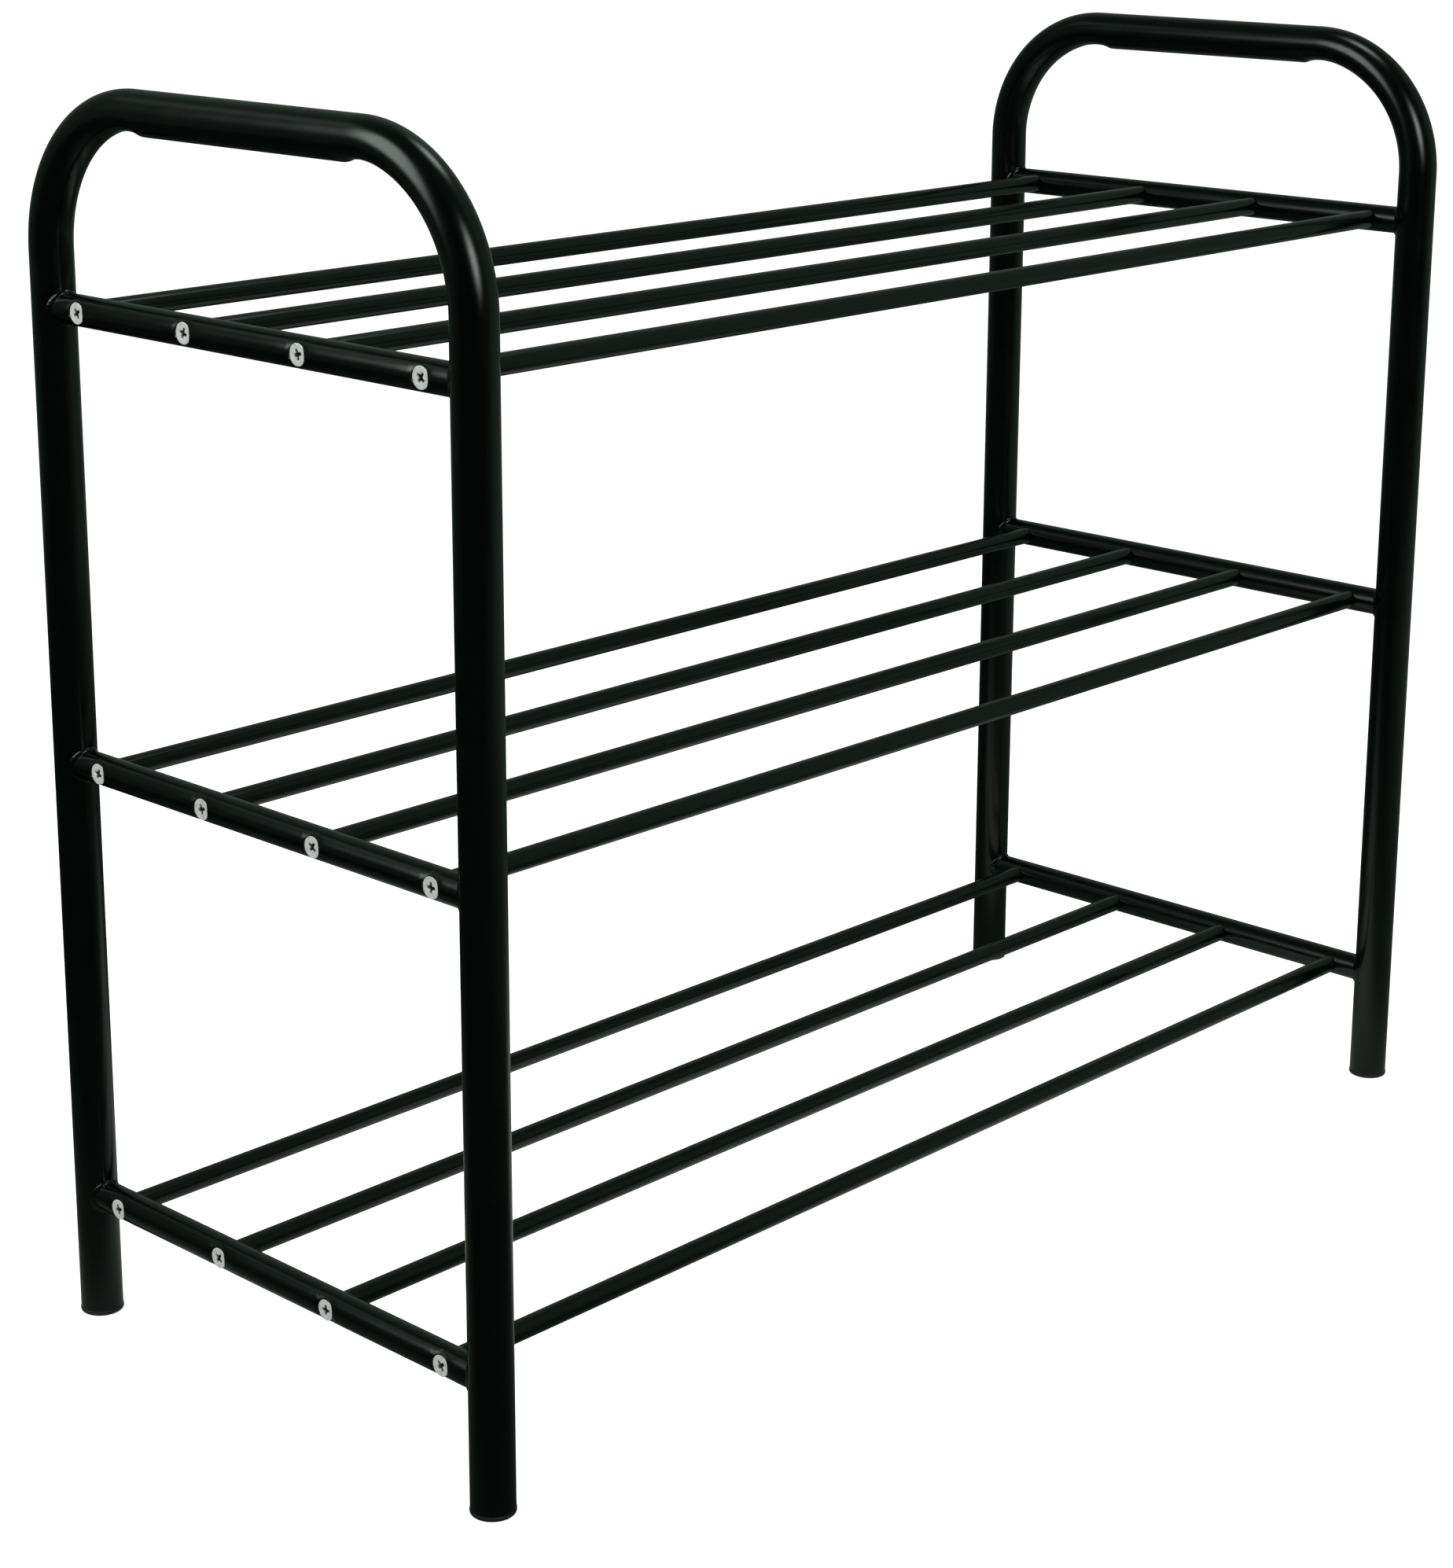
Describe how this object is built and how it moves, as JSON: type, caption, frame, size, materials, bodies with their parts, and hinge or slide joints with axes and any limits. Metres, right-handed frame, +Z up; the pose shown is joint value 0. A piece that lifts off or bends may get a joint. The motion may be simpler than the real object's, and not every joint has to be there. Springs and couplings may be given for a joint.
{
  "type": "tiered shoe rack",
  "caption": "Free-standing shoe rack: tube hoops at both ends with handle tops, joined by tiers of round bars screwed to cross rails.",
  "frame": {"origin": "on the floor, under the middle of the rack", "axes": "+X along the shelf bars to the right, +Y from the front to the back, +Z up"},
  "size_m": [0.6644, 0.2834, 0.558],
  "materials": {
    "frame_paint": "satin black powder coat",
    "bar_paint": "satin black powder coat",
    "weld_paint": "black powder coat over a rippled weld bead",
    "screw_zinc": "bright zinc plating",
    "insert_steel": "plain turned steel",
    "plug_plastic": "fine moulded black plastic"
  },
  "bodies": {
    "root": {"left_end_hoop": "frame_paint", "left_lower_rail": "frame_paint", "left_lower_welds": "weld_paint", "left_lower_inserts": "insert_steel", "left_lower_screws": "screw_zinc", "left_middle_rail": "frame_paint", "left_middle_welds": "weld_paint", "left_middle_inserts": "insert_steel", "left_middle_screws": "screw_zinc", "left_upper_rail": "frame_paint", "left_upper_welds": "weld_paint", "left_upper_inserts": "insert_steel", "left_upper_screws": "screw_zinc", "foot_plug_left_front": "plug_plastic", "foot_plug_left_back": "plug_plastic", "right_end_hoop": "frame_paint", "right_lower_rail": "frame_paint", "right_lower_welds": "weld_paint", "right_lower_inserts": "insert_steel", "right_lower_screws": "screw_zinc", "right_middle_rail": "frame_paint", "right_middle_welds": "weld_paint", "right_middle_inserts": "insert_steel", "right_middle_screws": "screw_zinc", "right_upper_rail": "frame_paint", "right_upper_welds": "weld_paint", "right_upper_inserts": "insert_steel", "right_upper_screws": "screw_zinc", "foot_plug_right_front": "plug_plastic", "foot_plug_right_back": "plug_plastic", "lower_bar_1": "bar_paint", "lower_bar_2": "bar_paint", "lower_bar_3": "bar_paint", "lower_bar_4": "bar_paint", "middle_bar_1": "bar_paint", "middle_bar_2": "bar_paint", "middle_bar_3": "bar_paint", "middle_bar_4": "bar_paint", "upper_bar_1": "bar_paint", "upper_bar_2": "bar_paint", "upper_bar_3": "bar_paint", "upper_bar_4": "bar_paint"}
  },
  "joints": []
}
